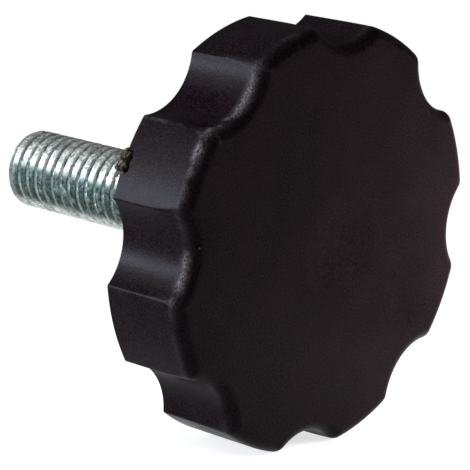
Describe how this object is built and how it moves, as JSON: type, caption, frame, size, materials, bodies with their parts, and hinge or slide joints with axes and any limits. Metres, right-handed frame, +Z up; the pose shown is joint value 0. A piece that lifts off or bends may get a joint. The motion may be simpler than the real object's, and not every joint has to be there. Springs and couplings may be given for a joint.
{
  "type": "lobed clamping knob",
  "caption": "Flat round clamping knob with a lobed, fluted grip of black moulded plastic and a zinc-plated threaded steel stud fixed in its hub.",
  "frame": {"origin": "centre of the seat at the end of the hub, on the screw's axis, where the stud leaves the head", "axes": "+Y along the screw from the seat to the tip of the stud, so the flat front looks towards -Y; +Z up through the middle of one flute; +X to the right seen from the front"},
  "size_m": [0.049, 0.05, 0.049],
  "materials": {
    "head_plastic": "satin black as moulded, scuffed pale along the front edge",
    "zinc_steel": "bright zinc plate over a rolled thread, slightly blue-green"
  },
  "bodies": {
    "root": {"grip_head": "head_plastic", "threaded_stud": "zinc_steel"}
  },
  "joints": []
}
